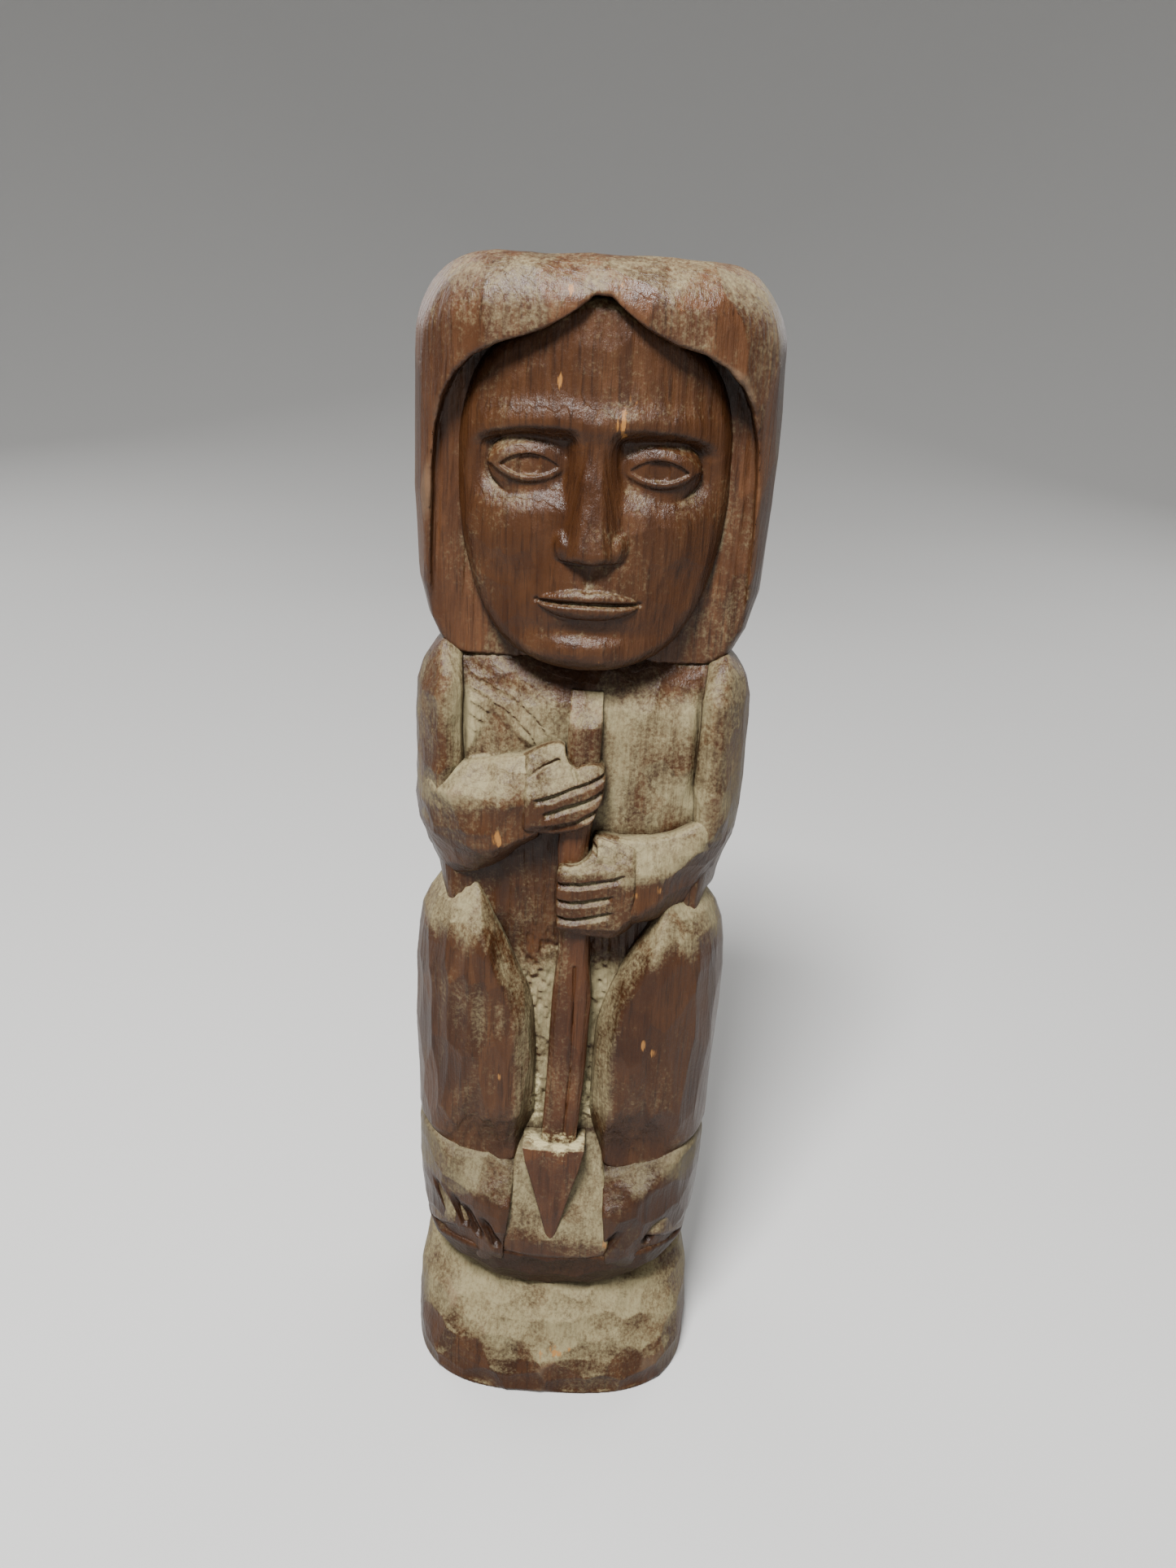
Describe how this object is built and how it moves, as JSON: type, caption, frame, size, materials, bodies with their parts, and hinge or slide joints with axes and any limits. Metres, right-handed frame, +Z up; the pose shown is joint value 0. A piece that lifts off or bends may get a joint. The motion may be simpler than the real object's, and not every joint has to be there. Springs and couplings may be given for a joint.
{
  "type": "carved wooden figure",
  "caption": "Upright wooden ancestor figure carved in relief: it squats on a rounded plinth under a hood of hair and holds a pointed staff in both hands; a free-standing display piece.",
  "frame": {"origin": "middle of the flat underside of the plinth, on the surface that the figure stands on", "axes": "+Z up along the block; the figure faces -Y; its own right side, with the upper hand, is at -X"},
  "size_m": [0.092, 0.082, 0.34],
  "materials": {
    "figure_wood": "dark brown stain, hand-rubbed and dusty, tool-marked, semi-matte",
    "hair_wood": "dark brown stain with upright grain, worn and slightly glossy on top",
    "staff_wood": "dark red-brown stain, split-grain surface, semi-matte",
    "plinth_wood": "dark brown stain under grey dust, gouge facets, semi-matte"
  },
  "bodies": {
    "root": {"face": "figure_wood", "foot_bowl": "plinth_wood", "hair_back": "hair_wood", "hair_fringe": "hair_wood", "hair_left_lock": "hair_wood", "hair_right_lock": "hair_wood", "left_eye": "figure_wood", "left_foot": "figure_wood", "left_forearm": "figure_wood", "left_hand": "figure_wood", "left_shin": "figure_wood", "left_thigh": "figure_wood", "left_upper_arm": "figure_wood", "mouth": "figure_wood", "nose": "figure_wood", "plinth": "plinth_wood", "right_eye": "figure_wood", "right_foot": "figure_wood", "right_forearm": "figure_wood", "right_hand": "figure_wood", "right_shin": "figure_wood", "right_thigh": "figure_wood", "right_upper_arm": "figure_wood", "staff_blade": "staff_wood", "staff_shaft": "staff_wood", "torso": "figure_wood"}
  },
  "joints": []
}
